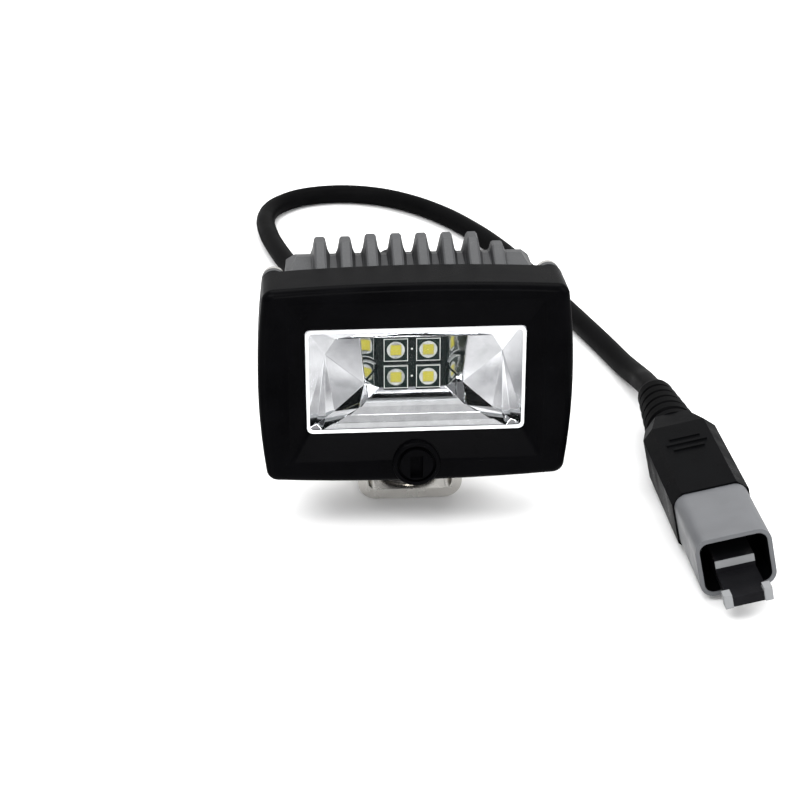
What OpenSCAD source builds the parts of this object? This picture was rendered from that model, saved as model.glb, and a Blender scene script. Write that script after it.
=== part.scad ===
// Compact LED fog light on a tilting U bracket, with a sealed plug on a short lead.
// Z is up and the lamp looks along -Y. The origin lies on the mounting surface,
// on the axis of the bolt that holds the bracket.

/* [Bezel] */
// Width of the front bezel at its middle
bezel_w = 74; // [72:1:80]
// Height of the front bezel at its middle
bezel_h = 50; // [49:1:54]
// Depth of the front bezel
bezel_d = 14; // [13:0.5:16]
// Bulge of each upright side of the bezel
side_bulge = 1.4; // [0.4:0.1:2]
// Crown of the top and bottom edges of the bezel
edge_crown = 1; // [0.2:0.1:1.5]
// Width of the light opening
window_w = 51.6; // [50:0.2:53]
// Height of the light opening
window_h = 26; // [24:0.5:27]
// Height of the light opening's centre above the bottom of the bezel
window_up = 25.6; // [25:0.1:26.2]

/* [Heat sink] */
// Number of cooling fins
fin_count = 8; // [6:1:8]
// Distance from one fin to the next
fin_pitch = 6.1; // [5.8:0.1:6.2]
// Width of the finned body behind the bezel
core_w = 61; // [60:0.5:64]

/* [Light source] */
// Distance between the two columns of light sources
led_pitch_x = 7.8; // [7:0.1:8.2]
// Distance between the two rows of light sources
led_pitch_z = 7; // [6.8:0.1:7.4]
// Radius of the dome over each light source
dome_r = 2.15; // [1.8:0.05:2.4]

/* [Bracket] */
// Outer width of the U bracket
bracket_w = 26; // [26:0.5:27]
// Length of the bracket's base along the lamp's axis
bracket_l = 22; // [20:0.5:22]
// Thickness of the bracket's steel sheet
sheet_t = 2.5; // [2:0.1:2.5]
// Height of the tilt axis above the mounting surface
pivot_z = 21; // [20.5:0.5:23]
// Radius of the rounded top of each bracket ear
ear_r = 8; // [7.5:0.1:8.5]

/* [Lead and plug] */
// Diameter of the lead
lead_d = 6.5; // [6:0.1:7]
// Width of the plug's outer shell
shell_w = 17.5; // [17:0.1:18]
// Height of the plug's outer shell
shell_h = 14.5; // [14:0.1:15]
// Twist of the plug about its own length
plug_roll = 12; // [8:1:14]

/* [Hidden] */

smooth = 64;                        // facets of a full round
eps = 0.02;                         // overshoot of a cut through a face

// Lamp planes, front to back
bezel_back_y = -17;
face_y = bezel_back_y - bezel_d;
bezel_z0 = pivot_z - 7;
bezel_cz = bezel_z0 + bezel_h / 2;
window_z = bezel_z0 + window_up;
rim_depth = 2.4;                    // how far the picture-frame slope falls in
lip_t = 1.6;                        // thickness of the lip that holds the lens
lip_back_y = face_y + rim_depth + lip_t;
seal_t = 0.8;                       // thickness of the lens seal
flange_t = 2;                       // thickness of the lens flange
lens_back_y = lip_back_y + seal_t + flange_t;
pocket_w = window_w + 6.8;          // pocket in the bezel for the lens
pocket_h = window_h + 6.4;
board_y = -16;                      // front face of the light source board
groove_t = 1.1;                     // groove of the housing seal, round the pocket
groove_d = 1.4;
groove_w = pocket_w + 1.8 + 2 * groove_t;
groove_h = pocket_h + 2.4 + 2 * groove_t;
led_z = window_z - 0.8;
pad_y = -14.7;                      // front face of the machined pad behind the board

// Finned body, side view
core_back_y = 9;
core_z0 = pivot_z + 10.5;
core_top_z = core_z0 + 31.3;
plate_back_y = -15;                 // rear of the flange that backs the bezel
web_back_y = -13;                   // rear of the low front wall

// Corner screws of the bezel
corner_x = 32.6;
corner_dz = 20.8;
screw_room_r = 3;
screw_collar = 1.6;                 // height of the collar under each screw head

// Gland on the rear wall
gland_x = 0;
gland_boss_r = 7.6;
gland_z = core_z0 + 9.5;
gland_boss_y = core_back_y + 1.5;
gland_hex_y = gland_boss_y + 4;
gland_nut_len = 7.5;
relief_len = 20;                    // rubber sleeve beyond the gland's cap nut
relief_y = gland_hex_y + gland_nut_len + relief_len;

// Breather on the side wall
breather_x = core_w / 2 + 0.8;
breather_y = -5;
breather_z = core_z0 + 19.5;

// Bracket and fasteners
gap_w = bracket_w - 2 * sheet_t;
lug_w = gap_w - 0.6;
pivot_hole_r = 3.3;
m6_r = 2.97;
m8_r = 3.96;
panel_gap = 5;                      // room for the panel between bracket and washer
washer_t = 1.6;
nut8_h = 8;
nut6_h = 6.4;
stud_len = 22.5;                    // how far the bolt stands below the mounting surface
free_end_z = panel_gap + washer_t + nut8_h;

// Plug on the end of the lead, lying on the mounting surface's level
plug_x = 69;
plug_z = 9.7;
boot_y = 28;
body_y = 0;
shell_y = -45;
mouth_y = -68;
shell_wall = 1;                      // thickness of the shell round the mouth
shell_rear = 5;                     // thickness of the shell's rear wall
pin_x = 4.4;
pin_up = 3;
pin_foot_r = 1.2;

// Middle line of the lead, chosen by hand: out of the gland, down to the surface,
// back round in one long loop and forward to the plug
ROUTE = [[gland_x, relief_y, gland_z], [0, 52, 40.5], [-1, 62, 37], [-3, 72, 31], [-5.5, 81, 24],
    [-8.5, 90, 16.5], [-12, 100, 9.5], [-15.5, 111, 5], [-19, 124, 3.5], [-23, 138, 3.3],
    [-27, 154, 3.3], [-31, 171, 3.3], [-34, 188, 3.3], [-35, 205, 3.3], [-31.5, 219, 3.3],
    [-22, 229.5, 3.3], [-8.5, 233, 3.3], [5, 229.5, 3.3], [17, 220, 3.3], [28, 205, 3.3],
    [37, 186, 3.3], [44, 166, 3.3], [50, 143, 3.3], [55, 120, 3.3], [60, 98, 3.3],
    [64, 80, 3.3], [67, 64, 3.6], [69, 50, 5.2], [69, 39, 7.8], [plug_x, boot_y, plug_z]];

// ---- helpers -------------------------------------------------------------

// Extrudes an X-Z outline from y0 over a depth d
module along_y(y0, d) translate([0, y0 + d, 0]) rotate([90, 0, 0]) linear_extrude(d) children();

// Extrudes a Y-Z outline, centred on x = 0, over a width w
module along_x(w) rotate([90, 0, 90]) translate([0, 0, -w / 2]) linear_extrude(w) children();

// Round bar along Y
module bar_y(x, z, r, y0, y1)
    translate([x, y1, z]) rotate([90, 0, 0]) cylinder(r = r, h = y1 - y0, $fn = smooth);

// Round bar along X
module bar_x(y, z, r, x0, x1)
    translate([x0, y, z]) rotate([0, 90, 0]) cylinder(r = r, h = x1 - x0, $fn = smooth);

// Box from its two opposite corners
module span(a, b) translate(a) cube(b - a);

// Box centred in X and Z between two depths
module plate_y(w, h, z, y0, y1) span([-w / 2, y0, z - h / 2], [w / 2, y1, z + h / 2]);

// Hexagon bar along X or Z, by its width across the flats
module hex_x(y, z, flats, x0, x1)
    translate([x0, y, z]) rotate([0, 90, 0]) cylinder(d = flats / cos(30), h = x1 - x0, $fn = 6);
module hex_z(flats, z0, z1) translate([0, 0, z0]) cylinder(d = flats / cos(30), h = z1 - z0, $fn = 6);

// Four-cornered outline with bulging sides and round corners
function bulged(w, h, bulge, crown, r, n = 8, m = 5) =
    let (cx = w / 2 - bulge - r, cz = h / 2 - crown - r,
        side = [for (i = [1 : n - 1]) let (s = 2 * i / n - 1) [cx + r + bulge * (1 - s * s), s * cz]],
        top = [for (i = [1 : n - 1]) let (s = 1 - 2 * i / n) [s * cx, cz + r + crown * (1 - s * s)]],
        corner = [for (i = [0 : m]) [cx + r * cos(90 * i / m), cz + r * sin(90 * i / m)]])
    concat(side, corner, top, [for (i = [m : -1 : 0]) [-corner[i][0], corner[i][1]]],
        [for (p = side) -p], [for (p = corner) -p], [for (p = top) -p],
        [for (i = [m : -1 : 0]) [corner[i][0], -corner[i][1]]]);

// Rectangle with round corners
module soft_rect(w, h, r) {
    square([w - 2 * r, h], center = true);
    square([w, h - 2 * r], center = true);
    for (sx = [-1, 1], sz = [-1, 1])
        translate([sx * (w / 2 - r), sz * (h / 2 - r)]) circle(r, $fn = smooth);
}

// ---- housing -------------------------------------------------------------

// Side outline of the finned body without its fins
core_side = [[plate_back_y - 0.5, core_z0], [core_back_y - 2.5, core_z0], [core_back_y, core_z0 + 2.5],
    [core_back_y, core_z0 + 20.5], [core_back_y - 1.6, core_z0 + 23.2], [-3, core_top_z - 0.4],
    [-6, core_top_z], [plate_back_y - 0.5, core_top_z - 2]];

// Roots and tips of a fin, followed from the bezel over the top and down the back
fin_roots = [[plate_back_y - 0.3, core_top_z - 2.6], [-6, core_top_z - 0.5], [-3.2, core_top_z - 0.9],
    [core_back_y - 2, core_z0 + 22.8], [core_back_y - 0.5, core_z0 + 20.3],
    [core_back_y - 0.5, core_z0 + 4], [core_back_y - 1.5, core_z0 + 1.5]];
fin_tips = [[plate_back_y - 0.3, core_top_z + 0.2], [-6, core_top_z + 4.9], [-2.4, core_top_z + 5.3],
    [core_back_y + 3, core_z0 + 26], [core_back_y + 5.2, core_z0 + 22],
    [core_back_y + 5.2, core_z0 + 5.5], [core_back_y + 3.6, core_z0 + 1.5]];

// Half width of a fin at each fraction of its height: a hollow foot, then a draft
fin_shape = [[0, 2.85], [0.14, 2.3], [0.36, 1.85], [0.9, 1.35], [1, 0.9]];

// Share of the full height at each fin: two lower ones on the left, the lowest on the right
function fin_height(i) = i < 2 ? 0.75 : i == fin_count - 1 ? 0.45 : 0.83;

// One fin as a skin of triangles round its height sections, ending at a given one
module fin(x, height, last) {
    levels = len(fin_shape);
    ring = 2 * levels;
    side = [for (s = fin_shape) [-s[1], s[0]]];
    shape = concat(side, [for (i = [levels - 1 : -1 : 0]) [-side[i][0], side[i][1]]]);
    points = [for (k = [0 : last], s = shape)
        let (p = fin_roots[k] + (fin_tips[k] - fin_roots[k]) * s[1] * height) [x + s[0], p[0], p[1]]];
    sides = [for (k = [0 : last - 1], i = [0 : ring - 1])
        let (a = k * ring + i, b = k * ring + (i + 1) % ring)
        each [[a, b + ring, b], [a, a + ring, b + ring]]];
    // Each end is a ladder of triangles between the two flanks
    caps = [for (i = [0 : levels - 2]) let (j = ring - 1 - i, e = last * ring)
        each [[i, i + 1, j], [j, i + 1, j - 1], [e + i, e + j, e + i + 1], [e + j, e + j - 1, e + i + 1]]];
    polyhedron(points, concat(sides, caps));
}

// Places a child at each corner screw
module at_corners() for (sx = [-1, 1], sz = [-1, 1])
    translate([sx * corner_x, 0, bezel_cz + sz * corner_dz]) children();

module housing_core() {
    intersection() {
        along_x(core_w) polygon(core_side);
        along_y(plate_back_y - 1, 40) polygon([[-core_w / 2 + 1.5, core_z0], [core_w / 2 - 1.5, core_z0],
            [core_w / 2, core_z0 + 4], [core_w / 2, core_top_z - 4], [core_w / 2 - 3.4, core_top_z],
            [-core_w / 2 + 3.4, core_top_z], [-core_w / 2, core_top_z - 4], [-core_w / 2, core_z0 + 4]]);
        translate([0, 0, core_z0 - 1]) linear_extrude(40)
            polygon([[-core_w / 2, -20], [core_w / 2, -20], [core_w / 2, -8],
                [core_w / 2 - 2, core_back_y], [-core_w / 2 + 2, core_back_y], [-core_w / 2, -8]]);
    }
}

module lug() {
    bar_x(0, pivot_z, 7, -lug_w / 2, lug_w / 2);
    span([-lug_w / 2, -7, pivot_z], [lug_w / 2, 7, core_z0 + 1]);
}

module heatsink_housing() color("dimgray") difference() {
    union() {
        along_y(bezel_back_y, plate_back_y - bezel_back_y) translate([0, bezel_cz])
            polygon(bulged(bezel_w - 1.6, bezel_h - 1.6, side_bulge, edge_crown, 2.6));
        span([-29, plate_back_y - eps, bezel_z0 + 3.5], [29, web_back_y, core_z0 + 1]);
        housing_core();
        for (i = [0 : fin_count - 1])
            let (x = (i - (fin_count - 1) / 2) * fin_pitch, to_foot = abs(x) > gland_boss_r + 3)
            fin(x, fin_height(i), to_foot ? len(fin_roots) - 1 : 4);
        lug();
        at_corners() bar_y(0, 0, 2.9, plate_back_y - eps, plate_back_y + screw_collar);
        bar_y(gland_x, gland_z, gland_boss_r, core_back_y - 1, gland_boss_y);
        bar_x(breather_y, breather_z, 4.6, core_w / 2 - 2, breather_x);
    }
    // Pocket for the light source board
    span([-13, bezel_back_y - eps, led_z - 9], [13, pad_y, led_z + 9]);
    // Compartment for the driver, open to the front
    span([-24, bezel_back_y - eps, led_z + 9 - eps], [24, 3, core_z0 + 25.5]);
    // Way from the driver compartment to the gland
    bar_y(gland_x, gland_z, 4, -4, gland_boss_y + eps);
    translate([gland_x, -1, gland_z]) cylinder(r = 2.4, h = 10, $fn = smooth);
    // Seat of the gland's threaded end
    bar_y(gland_x, gland_z, 5.4, core_back_y - 5, gland_boss_y + eps);
    // Breather seat, and its fine duct into the driver compartment
    bar_x(breather_y, breather_z, 3, breather_x - 3, breather_x + eps);
    bar_x(breather_y, breather_z, 0.75, 20, breather_x - 2);
    // Bore of the tilt axis
    bar_x(0, pivot_z, 4.25, -bracket_w / 2, bracket_w / 2);
    at_corners() bar_y(0, 0, 1.7, bezel_back_y - 1, plate_back_y + 3);
    // Room for the corner screws' heads and the driver that turns them
    at_corners() bar_y(0, 0, screw_room_r, plate_back_y + screw_collar, core_back_y + 1);
    // Tapped holes of the board screws
    at_board_screws() bar_y(0, 0, m2_r, pad_y - eps, pad_y + 1.4);
}

// ---- bezel and optics ----------------------------------------------------

plug_boss_z = bezel_z0 + 5;         // centre of the slotted boss on the lower rail
plug_boss_r = 5.7;

module bezel_body() {
    edge = 0.9;
    along_y(face_y + edge, bezel_d - edge) translate([0, bezel_cz])
        polygon(bulged(bezel_w, bezel_h, side_bulge, edge_crown, 2.8));
    hull() {
        along_y(face_y, 0.1) translate([0, bezel_cz])
            polygon(bulged(bezel_w - 2 * edge, bezel_h - 2 * edge, side_bulge, edge_crown, 2.2));
        along_y(face_y + edge, 0.1) translate([0, bezel_cz])
            polygon(bulged(bezel_w, bezel_h, side_bulge, edge_crown, 2.8));
    }
}

module front_bezel() color("black") difference() {
    union() {
        difference() {
            bezel_body();
            // Picture-frame slope down to the light opening
            hull() {
                span([-window_w / 2 - 4.1, face_y - 0.1, window_z - window_h / 2 - 7],
                    [window_w / 2 + 4.1, face_y, window_z + window_h / 2 + 7.6]);
                plate_y(window_w, window_h, window_z, face_y + rim_depth - 0.1, face_y + rim_depth);
            }
        }
        // Round boss for the slotted plug, trimmed to the lower edge
        intersection() {
            bar_y(0, plug_boss_z, plug_boss_r, face_y - 0.6, face_y + 6);
            span([-10, face_y - 1, bezel_z0 + 0.2], [10, face_y + 7, plug_boss_z + 10]);
        }
    }
    plate_y(window_w, window_h, window_z, face_y - 1, lip_back_y + eps);
    plate_y(pocket_w, pocket_h, window_z, lip_back_y, bezel_back_y + eps);
    // Seat of the slotted plug
    bar_y(0, plug_boss_z, 4.6, face_y - 1, face_y + 3.4);
    // Groove for the housing seal
    difference() {
        plate_y(groove_w, groove_h, window_z, bezel_back_y - groove_d, bezel_back_y + eps);
        plate_y(groove_w - 2 * groove_t, groove_h - 2 * groove_t, window_z, bezel_back_y - groove_d - 1,
            bezel_back_y + 1);
    }
    at_corners() bar_y(0, 0, 1.3, bezel_back_y - 8, bezel_back_y + eps);
}

module slot_plug() color("black") difference() {
    union() {
        bar_y(0, plug_boss_z, 4.6, face_y + 0.5, face_y + 3.4);
        bar_y(0, plug_boss_z, 3.9, face_y - 0.9, face_y + 0.6);
    }
    span([-1.5, face_y - 2, plug_boss_z - 3.4], [1.5, face_y + 1.4, plug_boss_z + 2.2]);
}

module lens() color("white", 0.4) {
    plate_y(window_w - 0.3, window_h - 0.3, window_z, face_y + rim_depth - 0.3, lip_back_y + seal_t + eps);
    plate_y(pocket_w - 0.6, pocket_h - 0.6, window_z, lip_back_y + seal_t, lens_back_y);
}

module lens_seal() color("black") difference() {
    plate_y(pocket_w - 0.6, pocket_h - 0.6, window_z, lip_back_y, lip_back_y + seal_t);
    plate_y(window_w + 0.4, window_h + 0.4, window_z, lip_back_y - 1, lip_back_y + 2);
}

// Tapered block between a front and a rear rectangle
module taper(w0, h0, z0, y0, w1, h1, z1, y1) hull() {
    plate_y(w0, h0, z0, y0, y0 + 0.01);
    plate_y(w1, h1, z1, y1 - 0.01, y1);
}

reflector_w = window_w + 2.4;
reflector_h = window_h + 2.4;
throat_w = 16.2;
throat_h = 14;

module reflector() color("silver") difference() {
    union() {
        plate_y(reflector_w + 3, reflector_h + 3, window_z, lens_back_y, lens_back_y + 1.2);
        taper(reflector_w, reflector_h, window_z, lens_back_y, throat_w + 2.4, throat_h + 2, led_z, board_y);
    }
    taper(window_w, window_h, window_z, lens_back_y - 0.01, throat_w, throat_h, led_z, board_y + 0.01);
}

// ---- light source and driver ---------------------------------------------

module at_leds() for (sx = [-1, 1], sz = [-1, 1])
    translate([sx * led_pitch_x / 2, 0, led_z + sz * led_pitch_z / 2]) children();

package_w = 5.8;
package_t = 0.6;
phosphor_t = 0.15;
board_t = 1;
board_w = 24.6;
board_h = 17;
board_screw_x = 10.6;
m2_r = 0.95;
m2_head_r = 1.9;

// Cone of a countersunk head, widest at the board's front face
module countersink(r) translate([0, board_y, 0]) rotate([-90, 0, 0])
    cylinder(r1 = r, r2 = m2_r, h = r - m2_r, $fn = smooth);

module at_board_screws() for (sx = [-1, 1]) translate([sx * board_screw_x, 0, led_z]) children();

module led_board() color("darkgreen") difference() {
    plate_y(board_w, board_h, led_z, board_y, board_y + board_t);
    at_board_screws() {
        bar_y(0, 0, m2_r + 0.15, board_y - 1, board_y + 2);
        translate([0, -eps, 0]) countersink(m2_head_r + 0.1);
    }
}

module led_packages() color("white") at_leds()
    plate_y(package_w, package_w, 0, board_y - package_t, board_y);

module led_phosphors() color("gold") at_leds()
    plate_y(2.6, 2.6, 0, board_y - package_t - phosphor_t, board_y - package_t);

module led_domes() color("white", 0.3) at_leds() difference() {
    translate([0, board_y - package_t, 0]) sphere(r = dome_r, $fn = smooth);
    span([-3, board_y - package_t, -3], [3, board_y + 3, 3]);
    plate_y(2.6, 2.6, 0, board_y - package_t - phosphor_t, board_y);
}

module led_board_screws() color("silver") at_board_screws() {
    bar_y(0, 0, m2_r, board_y, pad_y + 1.4);
    countersink(m2_head_r);
}

module thermal_pad() color("lightgray") difference() {
    plate_y(22, 15.6, led_z, board_y + board_t, pad_y);
    at_board_screws() bar_y(0, 0, m2_r + 0.25, board_y, pad_y + 1);
}

driver_z = led_z + 10.2;            // underside of the driver board
driver_t = 1.6;

module driver_board() color("seagreen")
    span([-23.5, -15.5, driver_z], [23.5, 2.4, driver_z + driver_t]);

module driver_inductor() color("dimgray") {
    translate([-4, -5.5, driver_z + driver_t]) cylinder(r = 4, h = 3.4, $fn = smooth);
    span([-8.4, -9.9, driver_z + driver_t], [-7.6, -1.1, driver_z + driver_t + 3.4]);
}

module driver_capacitors() color("tan") for (x = [6, 11, 16])
    span([x, -8, driver_z + driver_t], [x + 3.2, -3, driver_z + driver_t + 2.4]);

module driver_chips() color("black") {
    span([-18, -9, driver_z + driver_t], [-12, -4, driver_z + driver_t + 1.6]);
    span([-18, -1.6, driver_z + driver_t], [-14, 1.4, driver_z + driver_t + 1.2]);
    span([20, -8, driver_z + driver_t], [22.4, -4, driver_z + driver_t + 1]);
}

// Two short leads from the driver board down to the top edge of the light source board
module led_wires() color("firebrick") for (x = [-7.4, 7.4])
    translate([x, board_y + board_t / 2, led_z + board_h / 2])
        cylinder(r = 0.45, h = driver_z - led_z - board_h / 2, $fn = 24);

// The lead's two cores, from the gland up to the driver board
module supply_wires() color("firebrick") for (x = [-1.1, 1.1])
    translate([gland_x + x, 0, 0]) {
        bar_y(0, gland_z, 0.8, -1, core_back_y - 6);
        translate([0, -1, gland_z]) cylinder(r = 0.8, h = driver_z - gland_z, $fn = 24);
    }

module bezel_screws() color("gray") at_corners() {
    bar_y(0, 0, 1.3, bezel_back_y - 7.5, plate_back_y + screw_collar + 0.1);
    difference() {
        bar_y(0, 0, 2.7, plate_back_y + screw_collar, plate_back_y + screw_collar + 1.8);
        translate([0, plate_back_y + screw_collar + 1.9, 0]) rotate([90, 0, 0])
            cylinder(d = 2.3, h = 1.3, $fn = 6);
    }
}

module housing_seal() color("black") difference() {
    plate_y(groove_w - 0.2, groove_h - 0.2, window_z, bezel_back_y - groove_d, bezel_back_y);
    plate_y(groove_w - 2 * groove_t + 0.2, groove_h - 2 * groove_t + 0.2, window_z,
        bezel_back_y - groove_d - 1, bezel_back_y + 1);
}

module breather_plug() color("black") {
    bar_x(breather_y, breather_z, 3, breather_x - 3, breather_x);
    bar_x(breather_y, breather_z, 4.2, breather_x, breather_x + 1.6);
}

// ---- lead exit -----------------------------------------------------------

module cable_gland() color("black") difference() {
    union() {
        bar_y(gland_x, gland_z, 5.4, core_back_y - 5, gland_boss_y + 1);
        translate([gland_x, gland_hex_y, gland_z]) rotate([90, 0, 0])
            cylinder(d = 14 / cos(30), h = gland_hex_y - gland_boss_y, $fn = 6);
    }
    bar_y(gland_x, gland_z, 3.4, core_back_y - 6, gland_hex_y + 1);
}

module gland_nut() color("black") translate([gland_x, gland_hex_y, gland_z]) rotate([-90, 0, 0])
    rotate_extrude($fn = smooth)
        polygon([[3.4, 0], [6.8, 0], [6.8, 3.5], [6, 6.6], [5, gland_nut_len], [3.4, gland_nut_len]]);

// Ringed rubber sleeve that carries the lead out of the gland
module cable_relief() color("black") translate([gland_x, gland_hex_y, gland_z]) rotate([-90, 0, 0])
    rotate_extrude($fn = smooth)
        polygon(concat([[0, 0], [3.4, 0], [3.4, gland_nut_len], [4.9, gland_nut_len]],
            [for (i = [0 : 4], s = [0, 1, 2, 3])
                [4.8 - 0.16 * i - (s > 1 ? 0.45 : 0), gland_nut_len + 1.1 + 3.6 * i + [0, 2.2, 2.5, 3.3][s]]],
            [[3.95, gland_nut_len + relief_len], [0, gland_nut_len + relief_len]]));

// ---- bracket and fasteners -----------------------------------------------

// Sheet bent into a U: base, two bends and two ears
module u_sheet() {
    bend = 2;
    outer = bend + sheet_t;
    half = bracket_w / 2;
    span([-half + outer, -bracket_l / 2, 0], [half - outer, bracket_l / 2, sheet_t]);
    for (s = [-1, 1]) {
        span([s > 0 ? half - sheet_t : -half, -bracket_l / 2, outer],
            [s > 0 ? half : -half + sheet_t, bracket_l / 2, pivot_z + ear_r + 1]);
        difference() {
            bar_y(s * (half - outer), outer, outer, -bracket_l / 2, bracket_l / 2);
            bar_y(s * (half - outer), outer, bend, -bracket_l, bracket_l);
            span([-half - 1, -bracket_l, outer], [half + 1, bracket_l, outer * 3]);
            span([s > 0 ? -half : -half + outer, -bracket_l, -1],
                [s > 0 ? half - outer : half, bracket_l, outer * 3]);
        }
    }
}

module mount_bracket() color("silver") difference() {
    intersection() {
        u_sheet();
        // Ear outline: straight foot, sloping sides and a round head
        union() {
            bar_x(0, pivot_z, ear_r, -bracket_w, bracket_w);
            along_x(2 * bracket_w) polygon([[-bracket_l / 2, -1], [bracket_l / 2, -1],
                [bracket_l / 2, 6], [ear_r * 0.995, pivot_z + 0.8], [-ear_r * 0.995, pivot_z + 0.8],
                [-bracket_l / 2, 6]]);
        }
    }
    bar_x(0, pivot_z, pivot_hole_r, -bracket_w, bracket_w);
    span([-4.15, -4.15, -1], [4.15, 4.15, sheet_t + 1]);
}

module pivot_sleeve() color("silver") difference() {
    bar_x(0, pivot_z, 4.25, -gap_w / 2 + 0.15, gap_w / 2 - 0.15);
    bar_x(0, pivot_z, m6_r + 0.07, -bracket_w, bracket_w);
}

screw_head_x = -bracket_w / 2;      // underside of the screw's head
screw_head_h = 6;
screw_len = 40;

module pivot_screw() color("silver") difference() {
    union() {
        bar_x(0, pivot_z, 5, screw_head_x - screw_head_h, screw_head_x);
        bar_x(0, pivot_z, m6_r, screw_head_x - eps, screw_head_x + screw_len);
    }
    hex_x(0, pivot_z, 5, screw_head_x - screw_head_h - 1, screw_head_x - 2.8);
}

// Hexagon body with a round collar that holds the nylon ring
module lock_nut(flats, height, collar, bore) difference() {
    union() {
        intersection() {
            hex_z(flats, 0, height * 0.78);
            cylinder(r1 = flats * 0.5 + 0.1, r2 = flats * 0.5 + height, h = height, $fn = smooth);
            cylinder(r1 = flats * 0.5 + height, r2 = flats * 0.5 - 0.1, h = height, $fn = smooth);
        }
        cylinder(r = collar, h = height, $fn = smooth);
    }
    translate([0, 0, -1]) cylinder(r = bore, h = height + 2, $fn = smooth);
    translate([0, 0, height - 1.9]) cylinder(r = collar - 0.9, h = 1.3, $fn = smooth);
}

module nylon_ring(height, collar, bore) difference() {
    translate([0, 0, height - 1.9]) cylinder(r = collar - 0.9, h = 1.3, $fn = smooth);
    translate([0, 0, height - 3]) cylinder(r = bore, h = 4, $fn = smooth);
}

module at_pivot_nut() translate([bracket_w / 2, 0, pivot_z]) rotate([0, 90, 0]) children();

module pivot_nut() color("silver") at_pivot_nut() lock_nut(10, nut6_h, 4.4, m6_r);

module pivot_nut_insert() color("whitesmoke") at_pivot_nut() nylon_ring(nut6_h, 4.4, m6_r);

// Low domed head, square neck in the bracket's square hole, and the long shank
module carriage_bolt() color("silver") {
    head_r = 8.75;
    head_h = 4.2;
    dome_r = (head_r * head_r + head_h * head_h) / (2 * head_h);
    intersection() {
        translate([0, 0, sheet_t + head_h - dome_r]) sphere(r = dome_r, $fn = 96);
        translate([0, 0, sheet_t]) cylinder(r = head_r - 0.25, h = head_h + 1, $fn = smooth);
    }
    span([-4, -4, 0.1], [4, 4, sheet_t + eps]);
    // Shank, with a shallow relief between the clamped stretch and the free end
    translate([0, 0, -free_end_z]) cylinder(r = m8_r, h = free_end_z + 0.1 + eps, $fn = smooth);
    translate([0, 0, -free_end_z - 1]) cylinder(r = m8_r - 0.5, h = 1 + eps, $fn = smooth);
    translate([0, 0, -stud_len + 1]) cylinder(r = m8_r, h = stud_len - free_end_z - 2, $fn = smooth);
    translate([0, 0, -stud_len]) cylinder(r1 = m8_r - 0.8, r2 = m8_r, h = 1 + eps, $fn = smooth);
}

module panel_washer() color("silver") translate([0, 0, -panel_gap - washer_t]) difference() {
    cylinder(r = 8, h = washer_t, $fn = smooth);
    translate([0, 0, -1]) cylinder(r = 4.25, h = washer_t + 2, $fn = smooth);
}

module at_panel_nut() translate([0, 0, -panel_gap - washer_t]) rotate([180, 0, 0]) children();

module panel_nut() color("silver") at_panel_nut() lock_nut(13, nut8_h, 5.8, m8_r + 0.06);

module panel_nut_insert() color("whitesmoke") at_panel_nut() nylon_ring(nut8_h, 5.8, m8_r + 0.02);

// ---- lead and plug -------------------------------------------------------

// Point on the smooth curve through the route, t counted in route points
function route_at(t) =
    let (last = len(ROUTE) - 1, i = min(floor(t), last - 1), u = t - i,
        b = ROUTE[i], c = ROUTE[i + 1],
        a = i > 0 ? ROUTE[i - 1] : 2 * b - c, d = i + 2 <= last ? ROUTE[i + 2] : 2 * c - b)
    0.5 * (2 * b + (c - a) * u + (2 * a - 5 * b + 4 * c - d) * u * u + (3 * b - a - 3 * c + d) * u * u * u);

function unit(v) = v / norm(v);

module lead_cable() color("black") {
    sides = 12;
    rings = 2 * (len(ROUTE) - 1);
    r = lead_d / 2;
    points = [for (k = [0 : rings])
        let (t = k / 2, p = route_at(t),
            ahead = k == 0 || k == rings ? [0, k == 0 ? 1 : -1, 0]
                : unit(route_at(t + 0.05) - route_at(t - 0.05)),
            across = unit(cross(ahead, [0, 0, 1])), up = cross(across, ahead))
        for (j = [0 : sides - 1]) p + r * (cos(360 * j / sides) * across + sin(360 * j / sides) * up)];
    skin = [for (k = [0 : rings - 1], j = [0 : sides - 1])
        let (a = k * sides + j, b = k * sides + (j + 1) % sides)
        each [[a, b, b + sides], [a, b + sides, a + sides]]];
    ends = [[for (j = [sides - 1 : -1 : 0]) j], [for (j = [0 : sides - 1]) rings * sides + j]];
    polyhedron(points, concat(skin, ends));
}

// The plug's own frame: its length stays along Y
module at_plug() translate([plug_x, 0, plug_z]) rotate([0, -plug_roll, 0]) children();

module plug_boot() color("black") at_plug() translate([0, boot_y, 0]) rotate([90, 0, 0])
    rotate_extrude($fn = smooth)
        polygon(concat([[0, 0], [3.9, 0], [4.6, 1.2]],
            [for (i = [0 : 4], s = [0, 1, 2, 3])
                [4.9 + 0.42 * i - (s > 1 ? 0.7 : 0), 2.6 + 4.6 * i + [0, 2.6, 3, 4.2][s]]],
            [[6.9, 26], [6.9, 28], [0, 28]]));

// Chamfered box outline of the moulded body
function chamfered(w, h, c) = [[-w / 2 + c, -h / 2], [w / 2 - c, -h / 2], [w / 2, -h / 2 + c],
    [w / 2, h / 2 - c], [w / 2 - c, h / 2], [-w / 2 + c, h / 2], [-w / 2, h / 2 - c], [-w / 2, -h / 2 + c]];

module plug_body() color("black") at_plug() {
    along_y(shell_y, -shell_y - 9) polygon(chamfered(shell_w + 0.9, shell_h + 1, 2.6));
    hull() {
        along_y(-9 - eps, 0.1) polygon(chamfered(shell_w + 0.9, shell_h + 1, 2.6));
        along_y(body_y - 0.1, 0.1) polygon(chamfered(14.6, 13.2, 3.2));
    }
    // Three raised grip lines
    for (i = [0 : 2])
        plate_y(10 - 2.4 * abs(i - 1), 0.9, shell_h / 2 + 0.5, -17 - 3 * i - 0.55, -17 - 3 * i + 0.55);
}

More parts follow.
